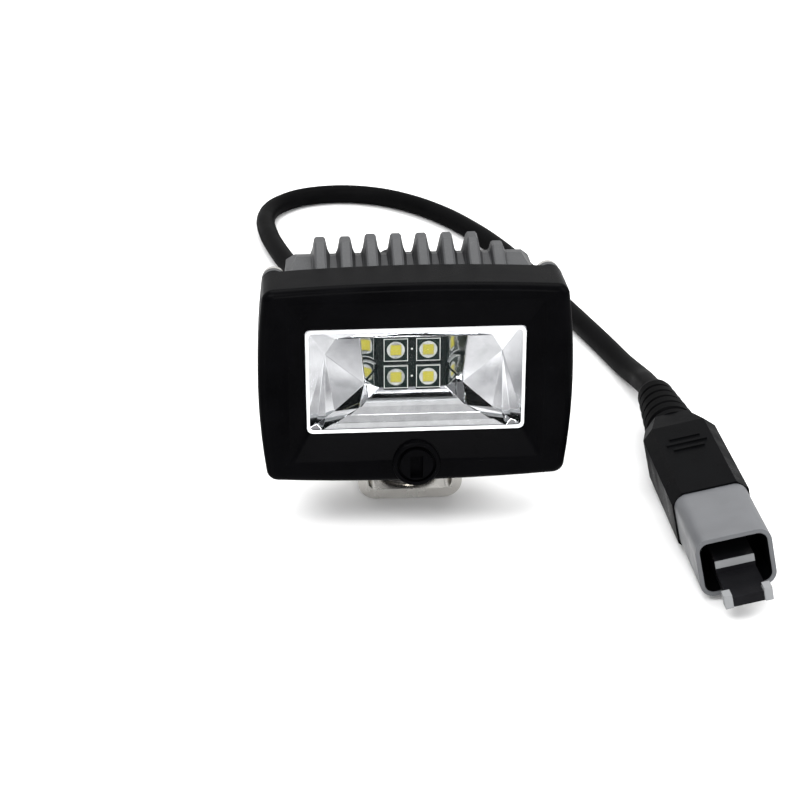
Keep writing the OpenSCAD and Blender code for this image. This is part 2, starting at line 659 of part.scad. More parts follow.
module plug_shell() color("gainsboro") at_plug() difference() {
    along_y(mouth_y, shell_y - mouth_y) soft_rect(shell_w, shell_h, 3.2);
    along_y(mouth_y - 1, shell_y - shell_rear - mouth_y + 1)
        soft_rect(shell_w - 2 * shell_wall, shell_h - 2 * shell_wall, 3.2 - shell_wall);
    for (s = [-1, 1]) bar_y(s * pin_x, pin_up, pin_foot_r, shell_y - 5, shell_y + 1);
}

// Contact pins on thicker feet that are held in the shell's rear wall
module plug_pins() color("silver") at_plug() for (s = [-1, 1]) {
    bar_y(s * pin_x, pin_up, pin_foot_r, shell_y - shell_rear, shell_y);
    bar_y(s * pin_x, pin_up, 0.8, shell_y - shell_rear - 10, shell_y - shell_rear);
}

// Locking wedge: raised bar in the mouth, and a tongue that ends in two raised corners
module plug_wedge() color("lightgray") at_plug() {
    span([-4.5, shell_y - 21.5, -4.9], [4.5, shell_y - shell_rear - 0.4, 0.4]);
    span([-4.5, mouth_y - 10, -4.9], [4.5, shell_y - 21, -2.6]);
    for (s = [-1, 1]) translate([s * 4.5, 0, 0])
        span([-0.9, mouth_y - 10.4, -4.9], [0.9, mouth_y - 7.6, -1.7]);
}

// ---- assembly ------------------------------------------------------------

heatsink_housing();
front_bezel();
slot_plug();
lens();
lens_seal();
reflector();
led_board();
led_packages();
led_phosphors();
led_domes();
led_board_screws();
thermal_pad();
driver_board();
driver_inductor();
driver_capacitors();
driver_chips();
led_wires();
supply_wires();
bezel_screws();
housing_seal();
breather_plug();
pivot_sleeve();
cable_gland();
gland_nut();
cable_relief();
mount_bracket();
pivot_screw();
pivot_nut();
pivot_nut_insert();
carriage_bolt();
panel_washer();
panel_nut();
panel_nut_insert();
lead_cable();
plug_boot();
plug_body();
plug_shell();
plug_pins();
plug_wedge();
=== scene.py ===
"""Looks of the compact LED fog light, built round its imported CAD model. Metres throughout."""
import math

import bmesh
import bpy
from mathutils import Matrix, Vector


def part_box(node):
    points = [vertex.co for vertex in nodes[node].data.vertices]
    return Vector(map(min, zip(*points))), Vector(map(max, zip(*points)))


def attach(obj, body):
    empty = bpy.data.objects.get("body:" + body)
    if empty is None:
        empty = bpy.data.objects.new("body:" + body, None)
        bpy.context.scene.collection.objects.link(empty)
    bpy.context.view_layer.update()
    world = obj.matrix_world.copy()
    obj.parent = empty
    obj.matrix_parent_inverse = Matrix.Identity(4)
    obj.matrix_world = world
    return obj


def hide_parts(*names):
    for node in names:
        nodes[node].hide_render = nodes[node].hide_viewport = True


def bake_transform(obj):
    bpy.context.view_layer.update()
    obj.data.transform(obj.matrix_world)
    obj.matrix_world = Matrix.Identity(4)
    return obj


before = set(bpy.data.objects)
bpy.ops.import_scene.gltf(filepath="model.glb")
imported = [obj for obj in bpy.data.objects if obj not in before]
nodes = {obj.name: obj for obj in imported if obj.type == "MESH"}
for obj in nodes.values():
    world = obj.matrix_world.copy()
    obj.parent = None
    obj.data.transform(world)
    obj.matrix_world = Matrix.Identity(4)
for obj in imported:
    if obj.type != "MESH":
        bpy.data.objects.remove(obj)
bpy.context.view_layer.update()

MM = 0.001


# ---- places taken from the frame -------------------------------------------

def middle(node):
    """Centre of a CAD node's box."""
    low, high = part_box(node)
    return (Vector(low) + Vector(high)) / 2


LENS_LOW, LENS_HIGH = (Vector(v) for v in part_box("lens"))
WINDOW = middle("lens")
LED_MID = middle("led_board")
BOARD_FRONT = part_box("led_board")[0][1]
LENS_BACK = LENS_HIGH.y
LENS_FRONT = LENS_LOW.y
PIVOT = middle("pivot_screw")
DECK = 0.0                                    # surface that the bracket and the lead rest on
SHELL_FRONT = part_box("plug_shell")[0][1]
PLUG_MID = middle("plug_shell")
PLUG_ROLL = math.radians(-12)
WEDGE_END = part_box("plug_wedge")[0][1]


# ---- camera ----------------------------------------------------------------

CAMERA_ELEVATION = math.radians(23)
CAMERA_AZIMUTH = math.radians(-4.5)
CAMERA_DISTANCE = 0.445
CAMERA_LENS = 85.5
AIM_RIGHT = 0.0084                            # how far the lamp stands off the picture's middle
AIM_UP = 0.0105


def make_camera():
    """A long lens, above the lamp and a little to the left of its front."""
    outward = Vector((
        math.sin(CAMERA_AZIMUTH) * math.cos(CAMERA_ELEVATION),
        -math.cos(CAMERA_AZIMUTH) * math.cos(CAMERA_ELEVATION),
        math.sin(CAMERA_ELEVATION),
    ))
    target = Vector((WINDOW.x, LENS_FRONT, WINDOW.z))
    place = target + CAMERA_DISTANCE * outward
    right = (-outward).cross(Vector((0, 0, 1))).normalized()
    up = right.cross(-outward)
    look = (-outward - AIM_RIGHT * right - AIM_UP * up).normalized()
    data = bpy.data.cameras.new("camera")
    data.lens = CAMERA_LENS
    data.sensor_width = 36
    data.clip_start = 0.01
    camera = bpy.data.objects.new("camera", data)
    bpy.context.scene.collection.objects.link(camera)
    camera.location = place
    camera.rotation_euler = look.to_track_quat("-Z", "Y").to_euler()
    bpy.context.scene.camera = camera


make_camera()


# ---- materials -------------------------------------------------------------

def node_of(tree, kind, **inputs):
    """A shader node with some of its inputs set."""
    made = tree.nodes.new(kind)
    for name, value in inputs.items():
        made.inputs[name.replace("_", " ")].default_value = value
    return made


def material(name, colour, rough, metal=0.0, grain=1500.0, bump=0.15, spread=0.25,
             rough_spread=0.12, blotch=120.0, specks=0.0, **sockets):
    """A surface with blotches of tone, uneven roughness and a fine grain.

    spread is how much the tone varies, blotch and grain are the sizes of the two noises
    (higher is finer), and specks lightens the grain's peaks as worn powder coat does.
    """
    made = bpy.data.materials.new(name)
    made.use_nodes = True
    tree = made.node_tree
    shader = tree.nodes["Principled BSDF"]
    shader.inputs["Metallic"].default_value = metal
    for socket, value in sockets.items():
        shader.inputs[socket.replace("_", " ")].default_value = value
    place = tree.nodes.new("ShaderNodeTexCoord").outputs["Object"]

    coarse = node_of(tree, "ShaderNodeTexNoise", Scale=blotch, Detail=4.0, Roughness=0.6)
    tree.links.new(place, coarse.inputs["Vector"])
    fine = node_of(tree, "ShaderNodeTexNoise", Scale=grain, Detail=3.0, Roughness=0.55)
    tree.links.new(place, fine.inputs["Vector"])

    tone = tree.nodes.new("ShaderNodeValToRGB")
    tone.color_ramp.elements[0].position = 0.3
    tone.color_ramp.elements[1].position = 0.7
    tone.color_ramp.elements[0].color = [c * (1 - spread) for c in colour] + [1]
    tone.color_ramp.elements[1].color = [min(1, c * (1 + spread)) for c in colour] + [1]
    tree.links.new(coarse.outputs["Fac"], tone.inputs["Fac"])
    shade = tone.outputs["Color"]
    if specks:
        peaks = node_of(tree, "ShaderNodeMapRange", From_Min=0.55, From_Max=0.75, To_Min=0.0, To_Max=specks)
        tree.links.new(fine.outputs["Fac"], peaks.inputs["Value"])
        lift = tree.nodes.new("ShaderNodeMixRGB")
        lift.inputs["Color2"].default_value = [min(1, c * 2.2 + 0.02) for c in colour] + [1]
        tree.links.new(peaks.outputs["Result"], lift.inputs["Fac"])
        tree.links.new(shade, lift.inputs["Color1"])
        shade = lift.outputs["Color"]
    tree.links.new(shade, shader.inputs["Base Color"])

    uneven = node_of(tree, "ShaderNodeMapRange", From_Min=0.3, From_Max=0.7,
                     To_Min=max(0.02, rough - rough_spread), To_Max=min(1.0, rough + rough_spread))
    tree.links.new(coarse.outputs["Fac"], uneven.inputs["Value"])
    tree.links.new(uneven.outputs["Result"], shader.inputs["Roughness"])

    relief = node_of(tree, "ShaderNodeBump", Strength=bump, Distance=0.00012)
    tree.links.new(fine.outputs["Fac"], relief.inputs["Height"])
    tree.links.new(relief.outputs["Normal"], shader.inputs["Normal"])
    return made


def brushed_metal(name, colour, rough, along):
    """Stainless sheet or bar with fine drawn lines along one axis (0, 1 or 2)."""
    made = material(name, colour, rough, metal=1.0, grain=900.0, bump=0.12, spread=0.06,
                    rough_spread=0.05, blotch=160.0)
    tree = made.node_tree
    shader = tree.nodes["Principled BSDF"]
    place = tree.nodes.new("ShaderNodeTexCoord").outputs["Object"]
    squeeze = tree.nodes.new("ShaderNodeMapping")
    squeeze.inputs["Scale"].default_value = [60 if axis == along else 5200 for axis in range(3)]
    tree.links.new(place, squeeze.inputs["Vector"])
    lines = node_of(tree, "ShaderNodeTexNoise", Scale=1.0, Detail=2.0)
    tree.links.new(squeeze.outputs["Vector"], lines.inputs["Vector"])
    relief = node_of(tree, "ShaderNodeBump", Strength=0.12, Distance=0.00004)
    tree.links.new(lines.outputs["Fac"], relief.inputs["Height"])
    tree.links.new(relief.outputs["Normal"], shader.inputs["Normal"])
    return made


def clear(name, tint, index, rough, body):
    """Clear moulding, with the faint haze and ripple of a moulded surface; body is how much it veils."""
    made = bpy.data.materials.new(name)
    made.use_nodes = True
    tree = made.node_tree
    shader = tree.nodes["Principled BSDF"]
    shader.inputs["IOR"].default_value = index
    shader.inputs["Alpha"].default_value = body
    place = tree.nodes.new("ShaderNodeTexCoord").outputs["Object"]
    haze = node_of(tree, "ShaderNodeTexNoise", Scale=90.0, Detail=2.0)
    tree.links.new(place, haze.inputs["Vector"])
    tone = tree.nodes.new("ShaderNodeValToRGB")
    tone.color_ramp.elements[0].color = [c * 0.985 for c in tint] + [1]
    tone.color_ramp.elements[1].color = list(tint) + [1]
    tree.links.new(haze.outputs["Fac"], tone.inputs["Fac"])
    tree.links.new(tone.outputs["Color"], shader.inputs["Base Color"])
    blur = node_of(tree, "ShaderNodeMapRange", To_Min=rough * 0.5, To_Max=rough * 1.5)
    tree.links.new(haze.outputs["Fac"], blur.inputs["Value"])
    tree.links.new(blur.outputs["Result"], shader.inputs["Roughness"])
    return made


def math_node(tree, operation, first, second=None):
    """A Math node fed by sockets or numbers, returning its output."""
    made = tree.nodes.new("ShaderNodeMath")
    made.operation = operation
    for slot, value in enumerate((first, second)):
        if value is None:
            continue
        if isinstance(value, (int, float)):
            made.inputs[slot].default_value = value
        else:
            tree.links.new(value, made.inputs[slot])
    return made.outputs[0]


def board_print(made, ring_radius, square_half, line, print_colour):
    """Prints a light disc and a thin square round each light source of a two by two array."""
    low, high = (Vector(v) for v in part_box("led_phosphors"))
    chip = 2.6 * MM                           # side of one light source's yellow square
    dot_half = 0.22 * MM
    half_x = (high.x - low.x - chip) / 2
    half_z = (high.z - low.z - chip) / 2
    centre_z = (high.z + low.z) / 2
    tree = made.node_tree
    shader = tree.nodes["Principled BSDF"]
    split = tree.nodes.new("ShaderNodeSeparateXYZ")
    tree.links.new(tree.nodes.new("ShaderNodeTexCoord").outputs["Object"], split.inputs[0])
    across = math_node(tree, "ABSOLUTE", split.outputs["X"])
    across = math_node(tree, "ABSOLUTE", math_node(tree, "SUBTRACT", across, half_x))
    upward = math_node(tree, "ABSOLUTE", math_node(tree, "SUBTRACT", split.outputs["Z"], centre_z))
    upward = math_node(tree, "ABSOLUTE", math_node(tree, "SUBTRACT", upward, half_z))
    radius = math_node(tree, "SQRT", math_node(
        tree, "ADD", math_node(tree, "MULTIPLY", across, across), math_node(tree, "MULTIPLY", upward, upward)))
    disc = math_node(tree, "LESS_THAN", radius, ring_radius)
    reach = math_node(tree, "MAXIMUM", across, upward)
    inner = math_node(tree, "GREATER_THAN", reach, square_half - line)
    outer = math_node(tree, "LESS_THAN", reach, square_half)
    printed = math_node(tree, "MAXIMUM", disc, math_node(tree, "MULTIPLY", inner, outer))
    dot = math_node(tree, "LESS_THAN", math_node(tree, "MAXIMUM", math_node(
        tree, "ABSOLUTE", split.outputs["X"]), upward), dot_half)
    printed = math_node(tree, "MAXIMUM", printed, dot)
    under = shader.inputs["Base Color"].links[0].from_socket
    blend = tree.nodes.new("ShaderNodeMixRGB")
    blend.inputs["Color2"].default_value = list(print_colour) + [1]
    tree.links.new(printed, blend.inputs["Fac"])
    tree.links.new(under, blend.inputs["Color1"])
    tree.links.new(blend.outputs["Color"], shader.inputs["Base Color"])
    return made


def paint_shade_in_hollows(made, reach, depth):
    """Paints shade into a surface's corners and gaps: darkens its colour where ambient occlusion finds them
    hollow.
    """
    tree = made.node_tree
    shader = tree.nodes["Principled BSDF"]
    under = shader.inputs["Base Color"].links[0].from_socket
    hollow = node_of(tree, "ShaderNodeAmbientOcclusion", Distance=reach)
    hollow.samples = 8
    share = node_of(tree, "ShaderNodeMapRange", From_Min=0.1, From_Max=0.95, To_Min=depth, To_Max=0.0)
    tree.links.new(hollow.outputs["AO"], share.inputs["Value"])
    blend = tree.nodes.new("ShaderNodeMixRGB")
    blend.inputs["Color2"].default_value = (0.006, 0.006, 0.007, 1)
    tree.links.new(share.outputs["Result"], blend.inputs["Fac"])
    tree.links.new(under, blend.inputs["Color1"])
    tree.links.new(blend.outputs["Color"], shader.inputs["Base Color"])
    return made


def paint_wedge_shade_and_highlights(name, dark, light, bar_front, bar_up, tongue_end, corner_x):
    """Moulding painted dark as shade, with a painted highlight along the upper edge of the front of its bar and
    painted highlights at its end's corners.

    The places are in the plug's own frame: bar_front and tongue_end along Y, bar_up upward and
    corner_x across.
    """
    made = material(name, dark, 0.4, grain=1800, bump=0.12, Specular_IOR_Level=0.05)
    tree = made.node_tree
    shader = tree.nodes["Principled BSDF"]
    split = tree.nodes.new("ShaderNodeSeparateXYZ")
    tree.links.new(tree.nodes.new("ShaderNodeTexCoord").outputs["Object"], split.inputs[0])
    right = math_node(tree, "SUBTRACT", split.outputs["X"], PLUG_MID.x)
    above = math_node(tree, "SUBTRACT", split.outputs["Z"], PLUG_MID.z)
    cos, sin = math.cos(PLUG_ROLL), math.sin(-PLUG_ROLL)
    across = math_node(tree, "ADD", math_node(tree, "MULTIPLY", right, cos),
                       math_node(tree, "MULTIPLY", above, sin))
    upward = math_node(tree, "SUBTRACT", math_node(tree, "MULTIPLY", above, cos),
                       math_node(tree, "MULTIPLY", right, sin))
    # painted highlights: the lighter colour goes on the bar's front upper edge and on the end's outer corners
    off_bar = math_node(tree, "ABSOLUTE", math_node(tree, "SUBTRACT", split.outputs["Y"], bar_front))
    bar_highlight = math_node(tree, "MULTIPLY", math_node(tree, "LESS_THAN", off_bar, 0.3 * MM),
                       math_node(tree, "GREATER_THAN", upward, bar_up))
    corner_highlights = math_node(tree, "MULTIPLY", math_node(tree, "LESS_THAN", split.outputs["Y"], tongue_end),
                       math_node(tree, "GREATER_THAN", math_node(tree, "ABSOLUTE", across), corner_x))
    blend = tree.nodes.new("ShaderNodeMixRGB")
    blend.inputs["Color2"].default_value = list(light) + [1]
    under = shader.inputs["Base Color"].links[0].from_socket
    tree.links.new(math_node(tree, "MAXIMUM", bar_highlight, corner_highlights), blend.inputs["Fac"])
    tree.links.new(under, blend.inputs["Color1"])
    tree.links.new(blend.outputs["Color"], shader.inputs["Base Color"])
    return made


cast_grey = material("cast_grey", (0.044, 0.045, 0.047), 0.45, grain=2600, bump=0.35, spread=0.12,
                     specks=0.25, Specular_IOR_Level=0.2)
# painted shade: darkens the housing between its fins and in its other hollows
paint_shade_in_hollows(cast_grey, 8 * MM, 0.95)
gloss_black = material("gloss_black", (0.0012, 0.0012, 0.0015), 0.3, grain=1800, bump=0.04, spread=0.3,
                       rough_spread=0.05, Specular_IOR_Level=0.016)
plug_black = material("plug_black", (0.0014, 0.0014, 0.0017), 0.34, grain=1500, bump=0.08, spread=0.3,
                      rough_spread=0.06, Specular_IOR_Level=0.012)
rubber = material("rubber", (0.0026, 0.0026, 0.0028), 0.42, grain=2200, bump=0.16, spread=0.3, blotch=70,
                  rough_spread=0.08, Specular_IOR_Level=0.01)
moulded_black = material("moulded_black", (0.0028, 0.0029, 0.0032), 0.36, grain=2400, bump=0.18, spread=0.25,
                         Specular_IOR_Level=0.01)
moulded_grey = material("moulded_grey", (0.088, 0.091, 0.097), 0.42, grain=2000, bump=0.12, spread=0.08)
chrome = material("chrome", (0.86, 0.87, 0.89), 0.05, metal=1.0, grain=230, bump=0.03, spread=0.07,
                  blotch=330, rough_spread=0.03)
PRINT_WHITE = (0.88, 0.91, 0.88)
DISC_RADIUS = 2.15 * MM
SQUARE_HALF = 2.9 * MM
SQUARE_LINE = 0.16 * MM
board_green = material("board_green", (0.012, 0.028, 0.025), 0.35, grain=900, bump=0.1, spread=0.3)
source_board = board_print(material("source_board", (0.004, 0.010, 0.009), 0.4, grain=900, bump=0.1,
                                    spread=0.3, Specular_IOR_Level=0.2),
                           DISC_RADIUS, SQUARE_HALF, 0.0, PRINT_WHITE)
package_green = board_print(material("package_green", (0.006, 0.018, 0.015), 0.4, grain=900, bump=0.05,
                                     Specular_IOR_Level=0.2),
                            DISC_RADIUS, SQUARE_HALF, SQUARE_LINE, PRINT_WHITE)
# painted light: the emission makes the phosphor glow though the lamp is off
phosphor = material("phosphor", (0.90, 0.84, 0.20), 0.55, grain=4000, bump=0.2, spread=0.08,
                    Emission_Color=(0.85, 0.78, 0.22, 1), Emission_Strength=0.4)
stainless_x = brushed_metal("stainless_x", (0.60, 0.585, 0.555), 0.26, 0)
stainless_y = brushed_metal("stainless_y", (0.60, 0.585, 0.555), 0.30, 1)
stainless_z = brushed_metal("stainless_z", (0.60, 0.585, 0.555), 0.26, 2)
nickel = material("nickel", (0.72, 0.70, 0.66), 0.2, metal=1.0, grain=700, bump=0.05, spread=0.05)
nylon = material("nylon", (0.62, 0.62, 0.58), 0.5, grain=800, bump=0.1, spread=0.06)
thermal = material("thermal", (0.4, 0.4, 0.42), 0.8, grain=1800, bump=0.3)
ceramic_tan = material("ceramic_tan", (0.42, 0.3, 0.18), 0.5, grain=1600, bump=0.2)
epoxy_black = material("epoxy_black", (0.02, 0.02, 0.02), 0.5, grain=2600, bump=0.3)
wire_red = material("wire_red", (0.4, 0.03, 0.02), 0.45, grain=900, bump=0.1)
# the plug's wedge: its base colour is painted shade, with painted highlights on its bar and end corners
wedge_painted_shade_highlights = paint_wedge_shade_and_highlights("wedge_painted_shade_highlights", (0.006, 0.006, 0.007), (0.20, 0.205, 0.21),
                         SHELL_FRONT + 1.5 * MM, -1.4 * MM, WEDGE_END + 2.9 * MM, 3.5 * MM)
lens_clear = clear("lens_clear", (0.03, 0.035, 0.036), 1.49, 0.03, 0.06)
dome_clear = clear("dome_clear", (0.20, 0.21, 0.16), 1.41, 0.03, 0.10)
# painted highlight: white for the clear lens edge where it catches the light
lens_edge_painted_highlight = material("lens_edge_painted_highlight", (0.86, 0.88, 0.89), 0.16, grain=700, bump=0.03, spread=0.03,
                     rough_spread=0.04, Coat_Weight=0.6)

FINISHES = {
    "heatsink_housing": cast_grey,
    "front_bezel": gloss_black,
    "slot_plug": plug_black,
    "lens": lens_clear,
    "lens_seal": rubber,
    "reflector": chrome,
    "led_board": source_board,
    "led_packages": package_green,
    "led_phosphors": phosphor,
    "led_domes": dome_clear,
    "led_board_screws": stainless_y,
    "thermal_pad": thermal,
    "driver_board": board_green,
    "driver_inductor": epoxy_black,
    "driver_capacitors": ceramic_tan,
    "driver_chips": epoxy_black,
    "led_wires": wire_red,
    "supply_wires": wire_red,
    "bezel_screws": stainless_y,
    "housing_seal": rubber,
    "breather_plug": moulded_black,
    "pivot_sleeve": stainless_x,
    "cable_gland": moulded_black,
    "gland_nut": moulded_black,
    "cable_relief": rubber,
    "mount_bracket": stainless_z,
    "pivot_screw": stainless_x,
    "pivot_nut": stainless_x,
    "pivot_nut_insert": nylon,
    "carriage_bolt": stainless_z,
    "panel_washer": stainless_x,
    "panel_nut": stainless_z,
    "panel_nut_insert": nylon,
    "lead_cable": rubber,
    "plug_boot": rubber,
    "plug_body": moulded_black,
    "plug_shell": moulded_grey,
    "plug_pins": nickel,
    "plug_wedge": wedge_painted_shade_highlights,
}


def finish_node(name):
    """Gives a CAD node its finish in place of the material it came with."""
    shown = nodes[name]
    shown.data.materials.clear()
    shown.data.materials.append(FINISHES[name])


for node_name in FINISHES:
    finish_node(node_name)


def mesh_piece(name, build, body, finish, smooth=True):
    """A new mesh object from a bmesh that build fills, riding on a body."""
    mesh = bpy.data.meshes.new(name)
    work = bmesh.new()
    build(work)
    bmesh.ops.recalc_face_normals(work, faces=work.faces)
    work.to_mesh(mesh)
    work.free()
    for face in mesh.polygons:
        face.use_smooth = smooth
    mesh.materials.append(finish)
    piece = bpy.data.objects.new(name, mesh)
    bpy.context.scene.collection.objects.link(piece)
    if body:
        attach(piece, body)
    return piece


# ---- lead ------------------------------------------------------------------

LEAD_DIAMETER = 6.5 * MM
# Middle line of the lead, as in the CAD model: out of the gland, down to the deck, back
# round in one long loop and forward to the plug
ROUTE = [
    (0, 42, 41), (0, 52, 40.5), (-1, 62, 37), (-3, 72, 31), (-5.5, 81, 24), (-8.5, 90, 16.5),
    (-12, 100, 9.5), (-15.5, 111, 5), (-19, 124, 3.5), (-23, 138, 3.3), (-27, 154, 3.3),
    (-31, 171, 3.3), (-34, 188, 3.3), (-35, 205, 3.3), (-31.5, 219, 3.3), (-22, 229.5, 3.3),
    (-8.5, 233, 3.3), (5, 229.5, 3.3), (17, 220, 3.3), (28, 205, 3.3), (37, 186, 3.3),
    (44, 166, 3.3), (50, 143, 3.3), (55, 120, 3.3), (60, 98, 3.3), (64, 80, 3.3), (67, 64, 3.6),
    (69, 50, 5.2), (69, 39, 7.8), (69, 28, 9.7),
]
STEPS = 8                                     # points on the smooth line from one route point to the next
SIDES = 20


def smooth_line(points, steps):
    """Smooth curve through points, a fixed number of steps from each to the next."""
    points = [Vector(p) for p in points]
    ends = [2 * points[0] - points[1]] + points + [2 * points[-1] - points[-2]]
    line = []
    for a, b, c, d in zip(ends, ends[1:], ends[2:], ends[3:]):
        for step in range(steps):
            u = step / steps
            line.append(0.5 * (2 * b + (c - a) * u + (2 * a - 5 * b + 4 * c - d) * u ** 2
                               + (3 * b - a - 3 * c + d) * u ** 3))
    line.append(points[-1])
    return line


def tube(work, line, radius, sides, end_ahead):
    """A closed round tube swept along a line that never points straight up."""
    rings = []
    for i, point in enumerate(line):
        if i == 0 or i == len(line) - 1:
            ahead = end_ahead[0 if i == 0 else 1]
        else:
            ahead = (line[i + 1] - line[i - 1]).normalized()
        across = ahead.cross(Vector((0, 0, 1))).normalized()
        up = across.cross(ahead)
        turns = [math.tau * j / sides for j in range(sides)]
        rings.append([work.verts.new(point + radius * (math.cos(turn) * across + math.sin(turn) * up))
                      for turn in turns])
    for a, b in zip(rings, rings[1:]):
        for j in range(sides):
            k = (j + 1) % sides
            work.faces.new((a[j], a[k], b[k], b[j]))
    work.faces.new(rings[0])
    work.faces.new(list(reversed(rings[-1])))


lead_line = [p * MM for p in smooth_line(ROUTE, STEPS)]
lead = mesh_piece(
    "lead",
    lambda work: tube(work, lead_line, LEAD_DIAMETER / 2, SIDES, (Vector((0, 1, 0)), Vector((0, -1, 0)))),
    None, rubber)
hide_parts("lead_cable")
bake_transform(lead)


# ---- smooth skins ----------------------------------------------------------

def loft(work, loops, ring=False):
    """Skin through loops of equal length; capped at both ends, or joined end to end as a ring."""
    made = [[work.verts.new(point) for point in loop] for loop in loops]
    pairs = list(zip(made, made[1:]))
    if ring:
        pairs.append((made[-1], made[0]))
    else:
        work.faces.new(made[0])
        work.faces.new(list(reversed(made[-1])))
    for a, b in pairs:
        for j in range(len(a)):
            k = (j + 1) % len(a)
            work.faces.new((a[j], a[k], b[k], b[j]))


def crisp(piece, degrees):
    """Keeps the piece's edges sharper than an angle as hard lines."""
    piece.data.set_sharp_from_angle(angle=math.radians(degrees))


def bevelled(piece, width, degrees):
    """Rounds the piece's sharp edges by a hair, so that they catch the light."""
    bevel = piece.modifiers.new("edges", "BEVEL")
    bevel.width = width
    bevel.segments = 2
    bevel.limit_method = "ANGLE"
    bevel.angle_limit = math.radians(degrees)


def bulged(width, height, bulge, crown, radius, side_steps=10, corner_steps=6):
    """Four-cornered outline in X and Z with bulging sides and round corners."""
    cx = width / 2 - bulge - radius
    cz = height / 2 - crown - radius
    half = []
    for i in range(1, side_steps):
        u = 2 * i / side_steps - 1
        half.append((cx + radius + bulge * (1 - u * u), u * cz))
    for i in range(corner_steps + 1):
        angle = math.pi / 2 * i / corner_steps
        half.append((cx + radius * math.cos(angle), cz + radius * math.sin(angle)))
    for i in range(1, side_steps):
        u = 1 - 2 * i / side_steps
        half.append((u * cx, cz + radius + crown * (1 - u * u)))
    for i in range(corner_steps, -1, -1):
        angle = math.pi / 2 * i / corner_steps
        half.append((-cx - radius * math.cos(angle), cz + radius * math.sin(angle)))
    return half + [(-x, -z) for x, z in half]


def outline_at(y, centre_z, outline):
    return [(x, y, centre_z + z) for x, z in outline]


# ---- bezel -----------------------------------------------------------------

BEZEL_LOW, BEZEL_HIGH = (Vector(v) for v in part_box("front_bezel"))
BOSS_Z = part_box("slot_plug")[0][2] + 4.6 * MM
BOSS_PROUD = 0.6 * MM
BOSS_SEAT = 4.62 * MM                         # radius of the hole that holds the slotted plug
BOSS_DEPTH = 3.4 * MM
FACE_Y = BEZEL_LOW.y + BOSS_PROUD
BEZEL_W = BEZEL_HIGH.x - BEZEL_LOW.x
BEZEL_H = BEZEL_HIGH.z - BEZEL_LOW.z
BEZEL_Z = (BEZEL_HIGH.z + BEZEL_LOW.z) / 2
LIP_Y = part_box("lens_seal")[0][1]
OPENING_W = 51.6 * MM
OPENING_H = 26 * MM
LENS_PLAY = 0.6 * MM
POCKET_W = LENS_HIGH.x - LENS_LOW.x + LENS_PLAY
POCKET_H = LENS_HIGH.z - LENS_LOW.z + LENS_PLAY


def bezel_shell(work):
    """Bezel with a rounded front edge and a shallow slope down to the light opening."""
    bulge, crown, corner = 1.4 * MM, 1.0 * MM, 2.8 * MM
    edge = 2.0 * MM
    slope_w, slope_h, slope_up = 59.8 * MM, 40.6 * MM, 0.3 * MM
    slope_depth = 2.4 * MM
    edge_steps = 7

    def outer(inset, y):
        return outline_at(y, BEZEL_Z, bulged(BEZEL_W - 2 * inset, BEZEL_H - 2 * inset, bulge, crown,
                                             max(0.7 * MM, corner - 0.7 * inset)))

    def inner(share, y, extra=0.0):
        """Rectangle a share of the way from the slope's outer edge to the opening."""
        width = slope_w + (OPENING_W - slope_w) * share + extra
        height = slope_h + (OPENING_H - slope_h) * share + extra
        return outline_at(y, WINDOW.z + slope_up * (1 - share), bulged(width, height, 0, 0, 1.1 * MM))

    loops = [outer(0, BEZEL_HIGH.y), outer(0, FACE_Y + edge + 0.3 * MM), outer(0, FACE_Y + edge)]
    for step in range(1, edge_steps + 1):
        angle = math.pi / 2 * step / edge_steps
        loops.append(outer(edge * (1 - math.cos(angle)), FACE_Y + edge * (1 - math.sin(angle))))
    loops.append(outer(edge + 0.3 * MM, FACE_Y))
    loops += [inner(0, FACE_Y, 0.5 * MM), inner(0, FACE_Y + 0.01 * MM),
              inner(0.08, FACE_Y + 0.08 * slope_depth), inner(0.92, FACE_Y + 0.92 * slope_depth),
              inner(1, FACE_Y + slope_depth), inner(1, LIP_Y)]
    pocket = bulged(POCKET_W, POCKET_H, 0, 0, 1.1 * MM)
    loops += [outline_at(LIP_Y, WINDOW.z, pocket), outline_at(BEZEL_HIGH.y, WINDOW.z, pocket)]
    loft(work, loops, ring=True)


def lathe_y(profile, centre_x, centre_z, sides=64):
    """Loops of a shape turned about an axis along Y, from (radius, y) pairs."""
    return [[(centre_x + r * math.cos(math.tau * j / sides), y, centre_z + r * math.sin(math.tau * j / sides))
             for j in range(sides)] for r, y in profile]


def bezel_boss(work):
    """Round boss that holds the slotted plug, with softened rims."""
    r, seat, soft = 5.7 * MM, BOSS_SEAT, 0.4 * MM
    front = FACE_Y - BOSS_PROUD
    back = FACE_Y + 5.5 * MM
    profile = [(r, back), (r, front + soft), (r - 0.13 * MM, front + 0.13 * MM), (r - soft, front),
               (seat + 0.2 * MM, front), (seat + 0.05 * MM, front + 0.05 * MM), (seat, front + 0.2 * MM),
               (seat, FACE_Y + BOSS_DEPTH), (seat, back)]
    loft(work, lathe_y(profile, 0, BOSS_Z), ring=True)


def cut_round(piece, radius, y0, y1, centre_z):
    """Drills a round hole along Y through a piece."""
    mesh = bpy.data.meshes.new("drill")
    work = bmesh.new()
    loft(work, lathe_y([(radius, y0), (radius, y1)], 0, centre_z))
    bmesh.ops.recalc_face_normals(work, faces=work.faces)
    work.to_mesh(mesh)
    work.free()
    drill = bpy.data.objects.new("drill", mesh)
    bpy.context.scene.collection.objects.link(drill)
    hole = piece.modifiers.new("hole", "BOOLEAN")
    hole.object = drill
    hole.solver = "EXACT"
    bpy.context.view_layer.update()
    cut = bpy.data.meshes.new_from_object(piece.evaluated_get(bpy.context.evaluated_depsgraph_get()))
    piece.modifiers.clear()
    piece.data = cut
    bpy.data.objects.remove(drill)


